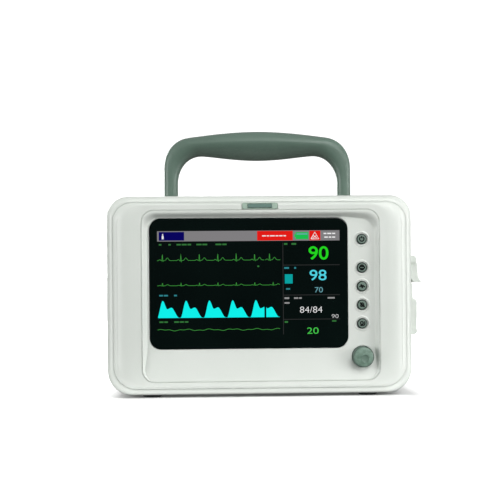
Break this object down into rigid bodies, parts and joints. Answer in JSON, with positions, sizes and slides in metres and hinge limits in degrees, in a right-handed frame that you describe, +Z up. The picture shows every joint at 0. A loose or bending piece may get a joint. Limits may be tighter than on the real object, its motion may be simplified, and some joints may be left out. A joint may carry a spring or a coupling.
{
  "type": "patient monitor",
  "caption": "Portable bedside patient monitor with a dished screen panel, side keys, turn-and-push knob, folding carrying handle and side strip recorder.",
  "frame": {"origin": "on the ground under the middle of the overall box, at the underside of the feet", "axes": "+Z up, the screen faces -Y, +X to the right of someone looking at the screen"},
  "size_m": [0.271, 0.1406, 0.23],
  "materials": {
    "case_white": "fine moulded texture, satin",
    "handle_green": "soft grey-green moulding",
    "button_green": "grey-green keycap, printed symbol",
    "knob_green": "grey-green, satin",
    "lens_pale": "pale green, glossy",
    "lens_dark": "translucent grey-green",
    "screen_glass": "black bordered window, glossy",
    "display": "backlit display",
    "circuit_board": "green laminate",
    "black_plastic": "black",
    "grey_plastic": "grey",
    "rubber": "matt black",
    "paper": "thermal paper wound tight",
    "steel": "plated",
    "brass": "turned"
  },
  "bodies": {
    "case": {"front_bezel": "case_white", "rear_housing": "case_white", "recorder_bay": "case_white", "connector_panel": "case_white", "alarm_trim": "lens_pale", "alarm_lens": "lens_dark", "screen_window": "screen_glass", "lcd_module": "display", "alarm_led_board": "circuit_board", "key_switch_board": "circuit_board", "main_board": "circuit_board", "power_board": "circuit_board", "parameter_board": "circuit_board", "handle_washer_left": "black_plastic", "handle_washer_right": "black_plastic", "power_inlet": "black_plastic", "battery_pack": "black_plastic", "speaker": "black_plastic", "encoder_body": "grey_plastic", "ecg_socket": "grey_plastic", "spo2_socket": "grey_plastic", "temp_socket_1": "grey_plastic", "temp_socket_2": "grey_plastic", "network_port": "grey_plastic", "nibp_valve_block": "grey_plastic", "print_head": "grey_plastic", "foot_front_left": "rubber", "foot_front_right": "rubber", "foot_rear_left": "rubber", "foot_rear_right": "rubber", "nibp_hose": "rubber", "handle_pin_left": "steel", "handle_pin_right": "steel", "door_hinge_pin": "steel", "latch_hinge_pin": "steel", "recorder_motor": "steel", "chassis_plate": "steel", "nibp_pump": "steel", "nibp_port": "steel", "case_screw_lower_left": "steel", "case_screw_lower_right": "steel", "case_screw_upper_left": "steel", "case_screw_upper_right": "steel", "ground_post": "brass"},
    "handle": {"handle": "handle_green"},
    "power_button": {"power_button": "button_green"},
    "print_button": {"print_button": "button_green"},
    "freeze_button": {"freeze_button": "button_green"},
    "silence_button": {"silence_button": "button_green"},
    "cuff_button": {"cuff_button": "button_green"},
    "encoder_rotor": {"encoder_rotor": "black_plastic"},
    "encoder_knob": {"encoder_knob": "knob_green", "encoder_shaft": "steel"},
    "recorder_door": {"recorder_door": "case_white"},
    "platen": {"platen_roller": "rubber", "platen_gear": "black_plastic"},
    "recorder_latch": {"recorder_latch": "case_white"},
    "motor_pinion": {"motor_pinion": "brass"},
    "paper_roll": {"paper_roll": "paper"},
    "battery_door": {"battery_door": "case_white"}
  },
  "joints": [
    {"name": "handle_fold", "type": "hinge", "parent": "case", "child": "handle", "pos_m": [-0.0053, -0.01065, 0.1605], "axis": [-1, 0, 0], "range_deg": [0, 90]},
    {"name": "power_button_press", "type": "slide", "parent": "case", "child": "power_button", "axis": [0, 1, 0], "range_m": [0, 0.0008], "stiffness_N_per_m": 1200, "springref_m": -0.0008},
    {"name": "print_button_press", "type": "slide", "parent": "case", "child": "print_button", "axis": [0, 1, 0], "range_m": [0, 0.0008], "stiffness_N_per_m": 1200, "springref_m": -0.0008},
    {"name": "freeze_button_press", "type": "slide", "parent": "case", "child": "freeze_button", "axis": [0, 1, 0], "range_m": [0, 0.0008], "stiffness_N_per_m": 1200, "springref_m": -0.0008},
    {"name": "silence_button_press", "type": "slide", "parent": "case", "child": "silence_button", "axis": [0, 1, 0], "range_m": [0, 0.0008], "stiffness_N_per_m": 1200, "springref_m": -0.0008},
    {"name": "cuff_button_press", "type": "slide", "parent": "case", "child": "cuff_button", "axis": [0, 1, 0], "range_m": [0, 0.0008], "stiffness_N_per_m": 1200, "springref_m": -0.0008},
    {"name": "knob_turn", "type": "hinge", "parent": "case", "child": "encoder_rotor", "pos_m": [0.0805, -0.06085, 0.0335], "axis": [0, 1, 0], "continuous": true},
    {"name": "knob_push", "type": "slide", "parent": "encoder_rotor", "child": "encoder_knob", "axis": [0, 1, 0], "range_m": [0, 0.0012], "stiffness_N_per_m": 1500, "springref_m": -0.001},
    {"name": "recorder_door_open", "type": "hinge", "parent": "case", "child": "recorder_door", "pos_m": [0.1282, -0.00565, 0.0537], "axis": [0, 1, 0], "range_deg": [0, 80]},
    {"name": "recorder_latch_pull", "type": "hinge", "parent": "case", "child": "recorder_latch", "pos_m": [0.1281, -0.00565, 0.1156], "axis": [0, -1, 0], "range_deg": [0, 20], "stiffness_Nm_per_rad": 0.5, "springref_deg": -11.46},
    {"name": "platen_spin", "type": "hinge", "parent": "recorder_door", "child": "platen", "pos_m": [0.1193, -0.00565, 0.0875], "axis": [0, 1, 0], "continuous": true},
    {"name": "pinion_spin", "type": "hinge", "parent": "case", "child": "motor_pinion", "pos_m": [0.10963, -0.00565, 0.08495], "axis": [0, 1, 0], "continuous": true},
    {"name": "paper_roll_spin", "type": "hinge", "parent": "case", "child": "paper_roll", "pos_m": [0.0982, -0.00565, 0.069], "axis": [0, 1, 0], "continuous": true},
    {"name": "battery_door_open", "type": "hinge", "parent": "case", "child": "battery_door", "pos_m": [-0.0353, 0.05965, 0.0175], "axis": [-1, 0, 0], "range_deg": [0, 90]}
  ],
  "couplings": [
    {"joint": "pinion_spin", "follows": "platen_spin", "ratio": -1.3333},
    {"joint": "paper_roll_spin", "follows": "platen_spin", "ratio": -0.2778}
  ]
}
